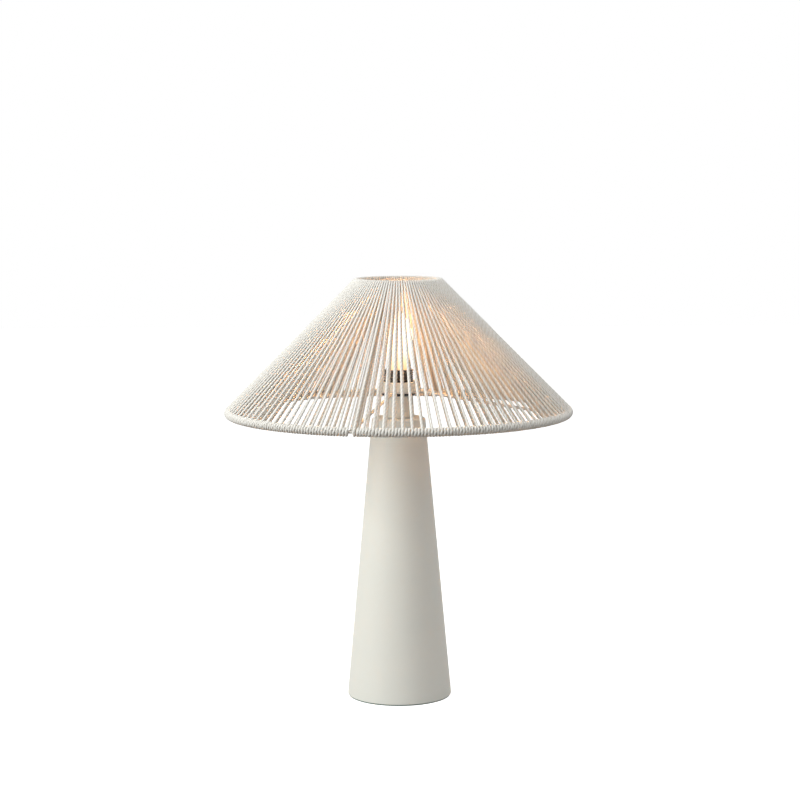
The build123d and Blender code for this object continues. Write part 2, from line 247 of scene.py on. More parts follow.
def rubber(name, colour):
    look = {
        "bloom": (0.12, 0.12, 0.12), "bloomPatches": 70.0, "bloomShare": 0.4, "grain": 1500.0,
        "grainDepth": 0.00005, "roughness": 0.72, "unevenness": 0.15,
    }

    def build(tree):
        grain = tree.noise(look["grain"], 3.0)
        bloom = tree.noise(look["bloomPatches"], 3.0)
        tint = tree.mix(bloom * look["bloomShare"], colour, look["bloom"])
        rough = look["roughness"] + grain * look["unevenness"]
        return tree.surface(tint, rough, tree.bump(grain, look["grainDepth"]))
    return makeMaterial(name, build)


def felt(name):
    look = {
        "deep": (0.050, 0.095, 0.068), "pale": (0.155, 0.235, 0.190), "fibres": 1300.0, "fibreShare": 0.6,
        "fibreDepth": 0.0004, "clumps": 160.0, "roughness": 0.95, "sheen": 0.3,
    }

    def build(tree):
        fibres = tree.noise(look["fibres"], 6.0, roughness=0.7)
        clumps = tree.noise(look["clumps"], 3.0)
        tone = fibres * look["fibreShare"] + clumps * (1 - look["fibreShare"])
        colour = tree.mix(tone, look["deep"], look["pale"])
        normal = tree.bump(fibres, look["fibreDepth"])
        return tree.surface(colour, look["roughness"], normal, Sheen_Weight=look["sheen"])
    return makeMaterial(name, build)


def blackGlass(name):
    look = {
        "dark": (0.012, 0.012, 0.014), "light": (0.03, 0.03, 0.034), "flow": 140.0, "flowDepth": 0.00005,
        "roughness": 0.12, "unevenness": 0.06,
    }

    def build(tree):
        flow = tree.noise(look["flow"], 2.0)
        colour = tree.mix(flow, look["dark"], look["light"])
        rough = look["roughness"] + flow * look["unevenness"]
        return tree.surface(colour, rough, tree.bump(flow, look["flowDepth"]))
    return makeMaterial(name, build)


def lightBoard(name, boardTop):
    # White solder mask; what stands above the board is a yellow light source.
    look = {
        "mask": (0.74, 0.74, 0.72), "paleMask": (0.82, 0.82, 0.80), "chip": (0.85, 0.62, 0.10),
        "clouds": 300.0, "cloudDepth": 0.00003, "roughness": 0.35, "unevenness": 0.15,
    }

    def build(tree):
        isChip = tree.height().maths("GREATER_THAN", boardTop)
        cloud = tree.noise(look["clouds"], 3.0)
        colour = tree.mix(isChip, tree.mix(cloud, look["mask"], look["paleMask"]), look["chip"])
        rough = look["roughness"] + cloud * look["unevenness"]
        return tree.surface(colour, rough, tree.bump(cloud, look["cloudDepth"]))
    return makeMaterial(name, build)


def litOpal(name, low, high, strength, stops):
    # White opal plastic that glows, in colours that follow its height: the dome glows from inside as the
    # bulb's light, and the housing's glow is painted light.
    look = {
        "opal": (0.85, 0.83, 0.78), "clouds": 120.0, "cloudDepth": 0.00002, "cloudShare": 0.06,
        "roughness": 0.35,
    }

    def build(tree):
        share = (tree.height() - low) / (high - low)
        cloud = tree.noise(look["clouds"], 2.0)
        warmth = tree.add("ShaderNodeValToRGB", {"stops": stops},
                          {"Fac": share + (cloud - 0.5) * look["cloudShare"]})
        return tree.surface(look["opal"], look["roughness"], tree.bump(cloud, look["cloudDepth"]),
                            Emission_Color=warmth, Emission_Strength=strength)
    return makeMaterial(name, build)


def twistedCord(name):
    # Cotton cord of two plies: the groove between them is painted darker as shade, and fine fibres run along
    # each ply.
    # The inner layer of the winding lets more of the bulb's light through than the outer layer.
    look = {
        "bright": (0.79, 0.772, 0.740),
        "soft": (0.75, 0.728, 0.690),
        # the groove colour is painted shade, mixed in where the plies meet
        "groove": (0.60, 0.555, 0.490), "grooveShadeEdge": 1.3, "grooveShadeShare": 0.85,
        "fibresAlong": 900.0, "fibresAcross": 9.0, "fibreShare": 0.55, "fibreDepth": 0.00016,
        "tonesAlong": 9.0,
        "roughness": 0.88, "sheen": 0.15, "specular": 0.25,
        "through": (0.95, 0.75, 0.48, 1.0),
        "outerShare": 0.03, "innerShare": 0.28, "layerDepth": 0.004,
    }
    low = top("shade_bottom_ring")
    slope = (reach("shade_top_ring") - reach("shade_bottom_ring")) / (top("shade_top_ring") - low)

    def fromAxis(tree):
        flat = tree.add("ShaderNodeVectorMath", {"operation": "MULTIPLY"},
                        {0: tree.coordinates(), 1: (1, 1, 0)})
        return tree.add("ShaderNodeVectorMath", {"operation": "LENGTH"}, {0: flat}, output="Value")

    def build(tree):
        along = tree.attribute("alongCord")
        lengthwise = tree.vector(along * look["fibresAlong"],
                                 tree.attribute("acrossPly") * look["fibresAcross"])
        fibres = tree.noise(1.0, 4.0, lengthwise, 0.65)
        tone = tree.noise(1.0, 2.0, tree.vector(along * look["tonesAlong"]))
        shine = fibres * look["fibreShare"] + tone * (1 - look["fibreShare"])
        yarn = tree.mix(shine, look["soft"], look["bright"])
        # painted shade: the valley between the plies is mixed towards the darker groove colour
        groove = tree.attribute("groove") ** look["grooveShadeEdge"] * look["grooveShadeShare"]
        cotton = tree.surface(tree.mix(groove, yarn, look["groove"]), look["roughness"],
                              tree.bump(fibres, look["fibreDepth"]), Sheen_Weight=look["sheen"],
                              Specular_IOR_Level=look["specular"])
        lit = tree.add("ShaderNodeBsdfTranslucent", None, {"Color": look["through"]})
        cone = (tree.height() - low) * slope + reach("shade_bottom_ring")
        inside = (cone - fromAxis(tree)) / look["layerDepth"]
        isInner = inside.maths("MAXIMUM", 0.0).maths("MINIMUM", 1.0)
        share = look["outerShare"] + isInner * (look["innerShare"] - look["outerShare"])
        return tree.add("ShaderNodeMixShader", None, {0: share, 1: cotton, 2: lit})
    return makeMaterial(name, build)


chipHeight = 0.0006   # the light board is light source from its top down to here
glow = {
    "domeStrength": 1.8,
    "domeStops": [(0.0, (1.0, 0.72, 0.42)), (0.25, (1.0, 0.82, 0.56)), (0.7, (1.0, 0.82, 0.56)),
                  (1.0, (0.8, 0.56, 0.32))],
    # the housing's glow is painted light, warmer and brighter towards its top
    "housingPaintedGlowStrength": 1.6,
    "housingPaintedGlowStops": [(0.0, (0.72, 0.36, 0.11)), (0.35, (0.62, 0.38, 0.16)), (1.0, (1.0, 0.74, 0.44))],
}
finishes = {
    "felt": felt("greenFelt"),
    "plated_steel": bareMetal("zincPlatedSteel", (0.66, 0.67, 0.68), (0.46, 0.47, 0.49)),
    "cast_iron": castIron("castIron"),
    "base_paint": powderCoat("basePaint", (0.680, 0.672, 0.620), (0.655, 0.645, 0.590)),
    "cup_paint": powderCoat("cupPaint", (0.700, 0.680, 0.610), (0.670, 0.645, 0.570), 0.5),
    "grommet_rubber": rubber("blackRubber", (0.028, 0.028, 0.028)),
    "holder_plastic": mouldedPlastic("holderPlastic", (0.024, 0.018, 0.016), (0.012, 0.010, 0.009), 0.12),
    "porcelain": glazedClay("glazedPorcelain"),
    "brass": bareMetal("brass", (0.80, 0.58, 0.25), (0.52, 0.35, 0.14)),
    "ring_plastic": mouldedPlastic("ringPlastic", (0.800, 0.770, 0.690), (0.745, 0.710, 0.620), 0.42),
    "frame_paint": powderCoat("framePaint", (0.640, 0.600, 0.545), (0.560, 0.520, 0.470), 0.5),
    "shade_cord": twistedCord("shadeCord"),
    "bulb_contact_metal": bareMetal("solderedTin", (0.60, 0.60, 0.62), (0.36, 0.36, 0.38), 0.45),
    "bulb_black_glass": blackGlass("blackGlass"),
    "bulb_cap_metal": bareMetal("nickelPlate", (0.72, 0.69, 0.64), (0.52, 0.49, 0.45), 0.24),
    # painted glow on the housing plastic, which is no light source itself
    "bulb_housing_plastic": litOpal("housingPaintedGlow", bottom("bulb_housing"), top("bulb_housing"),
                                    glow["housingPaintedGlowStrength"], glow["housingPaintedGlowStops"]),
    "bulb_opal": litOpal("litDome", top("bulb_housing"), top("bulb_dome"), glow["domeStrength"],
                         glow["domeStops"]),
    "board_white": lightBoard("lightBoard", top("bulb_led_board") - chipHeight),
}
print("finishes made:", len(finishes))

# Nodes whose own mesh stays and only gets a finish
keptNodes = {
    "plated_steel": ["foot_plate", "foot_plate_screws", "stem_tube", "stem_bottom_washer", "stem_bottom_nut",
                     "stem_top_washer", "stem_top_nut", "holder_set_screw"],
    "cast_iron": ["ballast"],
    "holder_plastic": ["holder_cap"],
    "porcelain": ["holder_insert"],
    "brass": ["terminal_screws", "centre_contact"],
    "bulb_contact_metal": ["bulb_contact"],
    "bulb_black_glass": ["bulb_insulator"],
    "board_white": ["bulb_led_board"],
}
for finish, nodeNames in keptNodes.items():
    for nodeName in nodeNames:
        mesh = nodes[nodeName].data
        mesh.materials.clear()
        mesh.materials.append(finishes[finish])


# Mesh helpers

samePlace = 1e-6   # points nearer than this are at the same place


def place(piece, body, slot, *replaced):
    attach(piece, body)
    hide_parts(*replaced)
    return piece


def shadeRound(data, sharpAngle=38.0):
    data.shade_smooth()
    data.set_sharp_from_angle(angle=math.radians(sharpAngle))


def makePiece(name, mesh, slot, **shading):
    data = bpy.data.meshes.new(name)
    mesh.to_mesh(data)
    mesh.free()
    shadeRound(data, **shading)
    data.materials.append(finishes[slot])
    piece = bpy.data.objects.new(name, data)
    scene.collection.objects.link(piece)
    return piece


def rounded(corners, steps=5):
    # Each corner is (radius, height, rounding); a rounding above 0 becomes an arc.
    outline = []
    for index, (radius, height, rounding) in enumerate(corners):
        corner = Vector((radius, height))
        if rounding == 0:
            outline.append(tuple(corner))
            continue
        before = (Vector(corners[index - 1][:2]) - corner).normalized()
        after = (Vector(corners[(index + 1) % len(corners)][:2]) - corner).normalized()
        half = before.angle(after) / 2
        centre = corner + (before + after).normalized() * rounding / math.sin(half)
        start = corner + before * rounding / math.tan(half) - centre
        turn = math.copysign(math.pi - 2 * half, before.cross(after))
        for step in range(steps + 1):
            spoke = Matrix.Rotation(-turn * step / steps, 2) @ start
            outline.append(tuple(centre + spoke))
    return outline


def turnedMesh(outline, segments, relief=None):
    # Solid of revolution from a closed outline; relief(angle, radius, height) adds to the radius.
    mesh = bmesh.new()
    rings = []
    for radius, height in outline:
        if radius < samePlace:
            rings.append([mesh.verts.new((0, 0, height))])
            continue
        ring = []
        for step in range(segments):
            angle = 2 * math.pi * step / segments
            out = radius + (relief(angle, radius, height) if relief else 0)
            ring.append(mesh.verts.new((out * math.cos(angle), out * math.sin(angle), height)))
        rings.append(ring)
    for lower, upper in zip(rings, rings[1:] + rings[:1]):
        for step in range(segments):
            after = step + 1
            corners = [lower[step % len(lower)], lower[after % len(lower)],
                       upper[after % len(upper)], upper[step % len(upper)]]
            corners = list(dict.fromkeys(corners))
            if len(corners) > 2:
                mesh.faces.new(corners)
    bmesh.ops.recalc_face_normals(mesh, faces=mesh.faces)
    return mesh


def evaluated(piece, name):
    # The plain mesh of an object with its modifiers applied, as a new object at the origin.
    depsgraph = bpy.context.evaluated_depsgraph_get()
    data = bpy.data.meshes.new_from_object(piece.evaluated_get(depsgraph))
    data.name = name
    bpy.data.objects.remove(piece)
    result = bpy.data.objects.new(name, data)
    scene.collection.objects.link(result)
    return result


def applyTree(source, tree, values, name):
    # Runs a Geometry Nodes tree on an object, with its inputs set by socket identifier.
    modifier = source.modifiers.new(name, "NODES")
    modifier.node_group = tree
    for item in tree.interface.items_tree:
        if item.item_type == "SOCKET" and item.in_out == "INPUT" and item.name in values:
            modifier[item.identifier] = values[item.name]
    return evaluated(source, name)


def startTree(name, inputs):
    # A new Geometry Nodes tree with a geometry input and output, and named inputs for its sizes.
    group = bpy.data.node_groups.new(name, "GeometryNodeTree")
    group.interface.new_socket("Geometry", in_out="INPUT", socket_type="NodeSocketGeometry")
    for inputName, kind in inputs.items():
        group.interface.new_socket(inputName, in_out="INPUT", socket_type=kind)
    group.interface.new_socket("Geometry", in_out="OUTPUT", socket_type="NodeSocketGeometry")
    tree = Tree(group)
    entry = group.nodes.new("NodeGroupInput")
    return tree, {socket.name: Wire(tree, socket) for socket in entry.outputs if socket.name}


def endTree(tree, geometry, material):
    real = tree.add("GeometryNodeRealizeInstances", None, {"Geometry": geometry})
    painted = tree.add("GeometryNodeSetMaterial", None, {"Geometry": real, "Material": material})
    tree.add("NodeGroupOutput", None, {"Geometry": painted})
    return tree.nodeTree


def lineObject(name, paths):
    # A curve object of open poly lines.
    data = bpy.data.curves.new(name, "CURVE")
    data.dimensions = "3D"
    for points in paths:
        spline = data.splines.new("POLY")
        spline.points.add(len(points) - 1)
        for target, point in zip(spline.points, points):
            target.co = (*point, 1.0)
    line = bpy.data.objects.new(name, data)
    scene.collection.objects.link(line)
    return line


# Camera

camera = {"distance": 2.7, "height": 0.697, "lookDown": 0.1143, "lens": 94.7, "shift": 0.0030,
          "roll": math.radians(0.22)}


def makeCamera():
    data = bpy.data.cameras.new("camera")
    data.lens = camera["lens"]
    data.shift_x = camera["shift"]
    eye = bpy.data.objects.new("camera", data)
    eye.location = (0, -camera["distance"], camera["height"])
    eye.rotation_euler = (math.pi / 2 - camera["lookDown"], camera["roll"], 0)
    scene.collection.objects.link(eye)
    scene.camera = eye


makeCamera()


# Foot and base

base = {
    "footRadius": reach("base_shell"),
    "topRadius": 0.0345,
    "wall": 0.002,
    "edge": 0.004,
    "footEdge": 0.0005,
    "edgeSteps": 8,
    "stemHole": 0.00525,
    "rows": 40,
    "rowGrowth": 1.35,   # above 1, the rows lie closer together near the foot
    "segments": 192,
    "entryRadius": 0.0051,
    "entryHeight": 0.014,
    "entrySides": 48,
}


def makeBase():
    low = bottom("base_shell")
    high = top("base_shell")
    taper = (base["footRadius"] - base["topRadius"]) / (high - low)
    across = base["wall"] * math.hypot(1, taper)
    wallTop = high - base["wall"]
    innerTop = base["topRadius"] + taper * base["wall"] - across
    outline = rounded([
        (base["footRadius"], low, base["footEdge"]),
        (base["topRadius"], high, base["edge"]),
        (base["stemHole"], high, 0),
        (base["stemHole"], wallTop, 0),
        (innerTop, wallTop, base["edge"] - base["wall"]),
        (base["footRadius"] - across, low, 0),
    ], base["edgeSteps"])
    # The outline's one long step is the straight outer side, which is cut into rows.
    longSide = [index for index in range(len(outline) - 1)
                if outline[index + 1][1] - outline[index][1] > (high - low) / 2][0]
    start = Vector(outline[longSide])
    end = Vector(outline[longSide + 1])
    shares = [(step / base["rows"]) ** base["rowGrowth"] for step in range(1, base["rows"])]
    outline[longSide + 1:longSide + 1] = [tuple(start.lerp(end, share)) for share in shares]
    shell = makePiece("baseShell", turnedMesh(outline, base["segments"]), "base_paint")
    cutter = bmesh.new()
    bmesh.ops.create_cone(cutter, cap_ends=True, segments=base["entrySides"], radius1=base["entryRadius"],
                          radius2=base["entryRadius"], depth=base["footRadius"])
    spot = Matrix.Translation((0, base["footRadius"], base["entryHeight"]))
    bmesh.ops.transform(cutter, verts=cutter.verts, matrix=spot @ Matrix.Rotation(math.pi / 2, 4, "X"))
    tool = makePiece("entryCutter", cutter, "base_paint")
    cut = shell.modifiers.new("entry", "BOOLEAN")
    cut.object = tool
    cut.solver = "EXACT"
    shell = evaluated(shell, "baseShell")
    bpy.data.objects.remove(tool)
    shadeRound(shell.data)
    place(shell, "root", "base_paint", "base_shell")


pad = {
    "edge": 0.0004, "segments": 256, "fuzz": 0.00012, "waveCount": 14, "slowest": 5, "fastest": 60, "seed": 4,
}


def makePad():
    rng = random.Random(pad["seed"])
    waves = [(rng.randint(pad["slowest"], pad["fastest"]), rng.uniform(0, 2 * math.pi), rng.random())
             for _ in range(pad["waveCount"])]
    total = sum(weight for _, _, weight in waves)

    def relief(angle, radius, height):
        if radius < pad["edge"]:
            return 0
        sway = sum(weight * math.sin(count * angle + phase) for count, phase, weight in waves)
        return pad["fuzz"] * (sway / total - 1)
    radius = reach("felt_pad")
    high = top("felt_pad")
    corners = [(0, 0, 0), (radius, 0, pad["edge"]), (radius, high, pad["edge"]), (0, high, 0)]
    mesh = turnedMesh(rounded(corners), pad["segments"], relief)
    place(makePiece("feltPad", mesh, "felt"), "root", "felt", "felt_pad")


grommet = {
    "bore": 0.0034, "neck": 0.005, "flange": 0.007, "edge": 0.0006, "height": 0.014, "segments": 64,
}


def makeGrommet():
    low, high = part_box("cord_grommet")
    length = high.y - low.y
    lip = grommet["edge"] * 3
    corners = [
        (grommet["bore"], 0, grommet["edge"]),
        (grommet["flange"], 0, grommet["edge"]),
        (grommet["flange"], lip, grommet["edge"]),
        (grommet["neck"], lip, 0),
        (grommet["neck"], length - lip, 0),
        (grommet["flange"], length - lip, grommet["edge"]),
        (grommet["flange"], length, grommet["edge"]),
        (grommet["bore"], length, grommet["edge"]),
    ]
    mesh = turnedMesh(rounded(corners), grommet["segments"])
    turn = Matrix.Translation((0, low.y, grommet["height"])) @ Matrix.Rotation(-math.pi / 2, 4, "X")
    bmesh.ops.transform(mesh, matrix=turn, verts=mesh.verts)
    place(makePiece("cordGrommet", mesh, "grommet_rubber"), "root", "grommet_rubber", "cord_grommet")


# Neck cup and lampholder

cup = {
    "rimRadius": 0.0186, "wall": 0.0012, "floor": 0.002, "stemHole": 0.00525,
    "footGap": 0.0011, "footInset": 0.0014, "edge": 0.0005, "segments": 128,
}


def makeCup():
    low = bottom("neck_cup")
    high = top("neck_cup")
    foot = reach("neck_cup")
    corners = [
        (cup["stemHole"], low, 0),
        (foot - cup["footInset"], low, 0),
        (foot - cup["footInset"], low + cup["footGap"], 0),
        (foot, low + cup["footGap"], cup["edge"] / 2),
        (cup["rimRadius"], high, cup["edge"]),
        (cup["rimRadius"] - cup["wall"], high, cup["edge"]),
        (foot - cup["wall"], low + cup["floor"], 0),
        (cup["stemHole"], low + cup["floor"], 0),
    ]
    mesh = turnedMesh(rounded(corners), cup["segments"])
    place(makePiece("neckCup", mesh, "cup_paint"), "root", "cup_paint", "neck_cup")


barrel = {
    "radius": 0.01925, "bore": 0.0173, "flangeHeight": 0.004, "lipBore": 0.015, "lip": 0.002,
    "threadDepth": 0.0007, "threadPitch": 0.0028, "bareBelow": 0.002, "bareAbove": 0.0012,
    "edge": 0.0005, "segments": 144, "rowsPerTurn": 8,
}
threadFlatness = 0.6   # below 1, the crests and roots of a thread are flatter than a sine's


def threadRelief(pitch, depth, low, high):
    # Rounded screw thread between two heights, which fades in and out over half a turn.
    def relief(angle, radius, height):
        if height < low or height > high:
            return 0
        fade = min(1, (height - low) / pitch * 2, (high - height) / pitch * 2)
        wave = math.cos(2 * math.pi * height / pitch - angle)
        return -depth * fade * (0.5 - 0.5 * math.copysign(abs(wave) ** threadFlatness, wave))
    return relief


def threadRows(radius, low, high, pitch, rowsPerTurn):
    count = math.ceil((high - low) / pitch * rowsPerTurn)
    return [(radius, low + (high - low) * step / count, 0) for step in range(count + 1)]


def makeBarrel():
    low = bottom("holder_barrel")
    high = top("holder_barrel")
    seat = low + barrel["flangeHeight"]
    threadLow = seat + barrel["bareBelow"]
    threadHigh = high - barrel["bareAbove"]
    corners = [
        (barrel["bore"], low, 0),
        (reach("holder_barrel"), low, barrel["edge"]),
        (reach("holder_barrel"), seat, barrel["edge"]),
        (barrel["radius"], seat, 0),
        *threadRows(barrel["radius"], threadLow, threadHigh, barrel["threadPitch"], barrel["rowsPerTurn"]),
        (barrel["radius"], high, barrel["edge"]),
        (barrel["lipBore"], high, barrel["edge"]),
        (barrel["lipBore"], high - barrel["lip"], 0),
        (barrel["bore"], high - barrel["lip"], 0),
    ]
    thread = threadRelief(barrel["threadPitch"], barrel["threadDepth"], threadLow, threadHigh)

    def relief(angle, radius, height):
        return thread(angle, radius, height) if abs(radius - barrel["radius"]) < samePlace else 0
    mesh = turnedMesh(rounded(corners), barrel["segments"], relief)
    place(makePiece("holderBarrel", mesh, "holder_plastic"), "root", "holder_plastic", "holder_barrel")


shell = {
    "wall": 0.0005, "threadPitch": 0.00362, "threadDepth": 0.0005, "segments": 96, "rowsPerTurn": 8,
    "sharpAngle": 60,
}


def makeThreadShell():
    low = bottom("thread_shell")
    high = top("thread_shell")
    outer = reach("thread_shell")
    rows = threadRows(outer, low, high, shell["threadPitch"], shell["rowsPerTurn"])
    inner = [(radius - shell["wall"], height, 0) for radius, height, _ in reversed(rows)]
    relief = threadRelief(shell["threadPitch"], shell["threadDepth"], low, high)
    mesh = turnedMesh([corner[:2] for corner in rows + inner], shell["segments"], relief)
    piece = makePiece("threadShell", mesh, "brass", sharpAngle=shell["sharpAngle"])
    place(piece, "root", "brass", "thread_shell")


# Clamping ring

ring = {
    "bore": 0.01955, "body": 0.0266, "flangeHeight": 0.0035, "edge": 0.0007, "innerEdge": 0.0003,
    "gripCount": 48, "gripDepth": 0.0004, "gripWidth": 3, "gripFade": 0.0006,
    "bareBelow": 0.001, "bareAbove": 0.0014, "segments": 384,
}


def makeClampRing():
    low = bottom("retaining_ring")
    high = top("retaining_ring")
    shoulder = low + ring["flangeHeight"]
    gripLow = shoulder + ring["bareBelow"]
    gripHigh = high - ring["bareAbove"]
    corners = [
        (ring["bore"], low, ring["innerEdge"]),
        (reach("retaining_ring"), low, ring["edge"]),
        (reach("retaining_ring"), shoulder, ring["edge"]),
        (ring["body"], shoulder, ring["innerEdge"]),
        (ring["body"], gripLow, 0),
        (ring["body"], gripLow + ring["gripFade"], 0),
        (ring["body"], gripHigh - ring["gripFade"], 0),
        (ring["body"], gripHigh, 0),
        (ring["body"], high, ring["edge"]),
        (ring["bore"], high, ring["edge"]),
    ]

    def relief(angle, radius, height):
        if abs(radius - ring["body"]) > samePlace or not gripLow < height < gripHigh:
            return 0
        wave = 0.5 + 0.5 * math.cos(ring["gripCount"] * angle)
        return -ring["gripDepth"] * wave ** ring["gripWidth"]
    mesh = turnedMesh(rounded(corners), ring["segments"], relief)
    place(makePiece("clampRing", mesh, "ring_plastic"), "ring", "ring_plastic", "retaining_ring")


# Bulb

bulb = {
    "capWall": 0.0006, "capPitch": 0.00362, "capThread": 0.0006, "capBareAbove": 0.001, "rowsPerTurn": 8,
    "bore": 0.0117, "boardRadius": 0.014, "boardThickness": 0.0016, "footSlope": 0.1, "rimSlope": 0.25,
    "flareSteps": 14, "finCount": 24, "finDepth": 0.0003, "finWidth": 4,
    "domeWall": 0.0012, "domeWidest": 0.019, "fullness": 0.5, "bluntness": 0.3, "bellySteps": 8,
    "flameSteps": 28, "segments": 96, "sharpAngle": 60,
    "lightCount": 4, "lightPower": 0.72, "lightColour": (1.0, 0.50, 0.20), "lightHeight": 0.016,
    "lightWidth": 0.024, "lightTall": 0.036, "lightTilt": math.radians(20),
    "tipPower": 0.13, "tipDepth": 0.006,
}


def makeBulbCap():
    low = bottom("bulb_cap")
    high = top("bulb_cap")
    radius = reach("bulb_cap")
    wall = bulb["capWall"]
    threadLow = low + 2 * wall
    rows = threadRows(radius, threadLow, high, bulb["capPitch"], bulb["rowsPerTurn"])
    inner = [(radius - wall - bulb["capThread"], height, 0) for _, height, _ in (rows[-1], rows[0])]
    side = [corner[:2] for corner in rows + inner]
    outline = [(0, low), (radius - 3 * wall, low), *side, (0, low + wall)]
    thread = threadRelief(bulb["capPitch"], bulb["capThread"], threadLow, high - bulb["capBareAbove"])

    def relief(angle, outer, height):
        return thread(angle, outer, height) if abs(outer - radius) < samePlace else 0
    mesh = turnedMesh(outline, bulb["segments"], relief)
    piece = makePiece("bulbCap", mesh, "bulb_cap_metal", sharpAngle=bulb["sharpAngle"])
    place(piece, "bulb", "bulb_cap_metal", "bulb_cap")


def bezier(start, startPull, endPull, end, steps):
    # Points along a curve that leaves its ends towards the two pulls.
    points = []
    for step in range(steps + 1):
        share = step / steps
        rest = 1 - share
        weights = (rest ** 3, 3 * rest ** 2 * share, 3 * rest * share ** 2, share ** 3)
        corners = zip(weights, (start, startPull, endPull, end))
        points.append(tuple(sum((Vector(corner) * weight for weight, corner in corners), Vector((0, 0)))))
    return points


def makeBulbHousing():
    low = bottom("bulb_housing")
    high = top("bulb_housing")
    foot = reach("bulb_cap")
    rim = reach("bulb_housing")
    rise = (high - low) / 3
    flare = bezier((foot, low), (foot + bulb["footSlope"] * rise, low + rise),
                   (rim - bulb["rimSlope"] * rise, high - rise), (rim, high), bulb["flareSteps"])
    boardLow = high - bulb["boardThickness"]
    outline = flare + [(bulb["boardRadius"], high), (bulb["boardRadius"], boardLow),
                       (bulb["bore"], boardLow), (bulb["bore"], low)]

    def relief(angle, radius, height):
        isSeat = radius <= bulb["boardRadius"] and height > boardLow - samePlace
        if isSeat or radius <= bulb["bore"]:
            return 0
        swell = math.sin(math.pi * (height - low) / (high - low))
        wave = 0.5 + 0.5 * math.cos(bulb["finCount"] * angle)
        return -bulb["finDepth"] * swell * wave ** bulb["finWidth"]
    mesh = turnedMesh(outline, bulb["segments"] * 2, relief)
    place(makePiece("bulbHousing", mesh, "bulb_housing_plastic"), "bulb", "bulb_housing_plastic",
          "bulb_housing")


def domeOutline(inset):
    # From the rim at the housing out to the widest point, then in to the tip.
    low = top("bulb_housing")
    widest = low + bulb["domeWidest"]
    tip = top("bulb_dome") - inset
    rim = reach("bulb_housing") - inset
    radius = reach("bulb_dome") - inset
    rise = (tip - widest) * bulb["fullness"]
    third = bulb["domeWidest"] / 3
    belly = bezier((rim, low), (rim + bulb["rimSlope"] * third, low + third), (radius, widest - third),
                   (radius, widest), bulb["bellySteps"])
    flame = bezier((radius, widest), (radius, widest + rise), (radius * bulb["bluntness"], tip), (0, tip),
                   bulb["flameSteps"])
    return belly + flame[1:]


def makeBulbDome():
    outline = domeOutline(0) + domeOutline(bulb["domeWall"])[::-1]
    mesh = turnedMesh(outline, bulb["segments"])
    dome = makePiece("bulbDome", mesh, "bulb_opal", sharpAngle=bulb["sharpAngle"])
    place(dome, "bulb", "bulb_opal", "bulb_dome")
    dome.visible_shadow = False   # the lights are inside it


def bulbLight(name, kind, power, matrix):
    data = bpy.data.lights.new(name, kind)
    data.energy = power
    data.color = bulb["lightColour"]
    light = bpy.data.objects.new(name, data)
    light.matrix_world = matrix
    scene.collection.objects.link(light)
    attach(light, "bulb")
    return data


def makeBulbLights():
    # The light that the bulb sheds: panels round its axis that look out and a little down, and its tip.
    height = top("bulb_housing") + bulb["lightHeight"]
    tilt = Matrix.Rotation(bulb["lightTilt"] - math.pi / 2, 4, "X")
    outward = Matrix.Translation((0, -bulb["lightWidth"] / 2, height)) @ tilt
    for index in range(bulb["lightCount"]):
        turn = Matrix.Rotation(2 * math.pi * index / bulb["lightCount"], 4, "Z")
        data = bulbLight(f"bulbLight{index + 1}", "AREA", bulb["lightPower"], turn @ outward)
        data.shape = "RECTANGLE"
        data.size = bulb["lightWidth"]
        data.size_y = bulb["lightTall"]
    tip = Matrix.Translation((0, 0, top("bulb_dome") - bulb["tipDepth"]))
    data = bulbLight("bulbTipLight", "POINT", bulb["tipPower"], tip)
    data.shadow_soft_size = bulb["tipDepth"]


# Wire frame of the shade

wire = {
    "radius": 0.002, "ribCount": 4, "firstRib": math.radians(-15), "sides": 16, "step": 0.0015,
    "seat": 0.0018, "hubSeat": 0.0006, "weldReach": 0.0032, "weldSwell": 0.0007, "ringSegments": 256,
}
carrier = {"bore": 0.020, "edge": 0.0004, "edgeSteps": 3, "segments": 160}


def ringSize(node):
    return {"radius": reach(node) - wire["radius"], "height": top(node) - wire["radius"]}


bottomRing = ringSize("shade_bottom_ring")
topRing = ringSize("shade_top_ring")


def spokeTree():
    # Round wires along the given lines, thicker at their welded ends, repeated round the axis.
    tree, inputs = startTree("wireSpokes", {
        "Wire Radius": "NodeSocketFloat", "Sides": "NodeSocketInt", "Count": "NodeSocketInt",
        "First Angle": "NodeSocketFloat", "Weld Reach": "NodeSocketFloat", "Weld Swell": "NodeSocketFloat",
        "Step": "NodeSocketFloat",
    })
    line = tree.add("GeometryNodeResampleCurve", {"mode": "LENGTH"},
                    {"Curve": inputs["Geometry"], "Length": inputs["Step"]})
    length = tree.add("GeometryNodeSplineParameter", output="Length")
    share = tree.add("GeometryNodeSplineParameter", output="Factor")
    whole = length / share.maths("MAXIMUM", 0.0001)
    fromEnd = length.maths("MINIMUM", whole - length)
    nearness = (1 - fromEnd / inputs["Weld Reach"]).maths("MAXIMUM", 0.0)
    swelling = 1 + inputs["Weld Swell"] / inputs["Wire Radius"] * nearness ** 2.0
    profile = tree.add("GeometryNodeCurvePrimitiveCircle", None,
                       {"Resolution": inputs["Sides"], "Radius": inputs["Wire Radius"]})
    rod = tree.add("GeometryNodeCurveToMesh", None,
                   {"Curve": line, "Profile Curve": profile, "Scale": swelling, "Fill Caps": True})
    smooth = tree.add("GeometryNodeSetShadeSmooth", None, {"Geometry": rod})
    spots = tree.add("GeometryNodeMeshLine", None, {"Count": inputs["Count"], "Offset": (0.0, 0.0, 0.0)})
    index = tree.add("GeometryNodeInputIndex")
    angle = index * (2 * math.pi) / inputs["Count"] + inputs["First Angle"]
    turn = tree.add("FunctionNodeEulerToRotation", None, {"Euler": tree.vector(z=angle)})
    copies = tree.add("GeometryNodeInstanceOnPoints", None,
                      {"Points": spots, "Instance": smooth, "Rotation": turn})
    return endTree(tree, copies, finishes["frame_paint"])


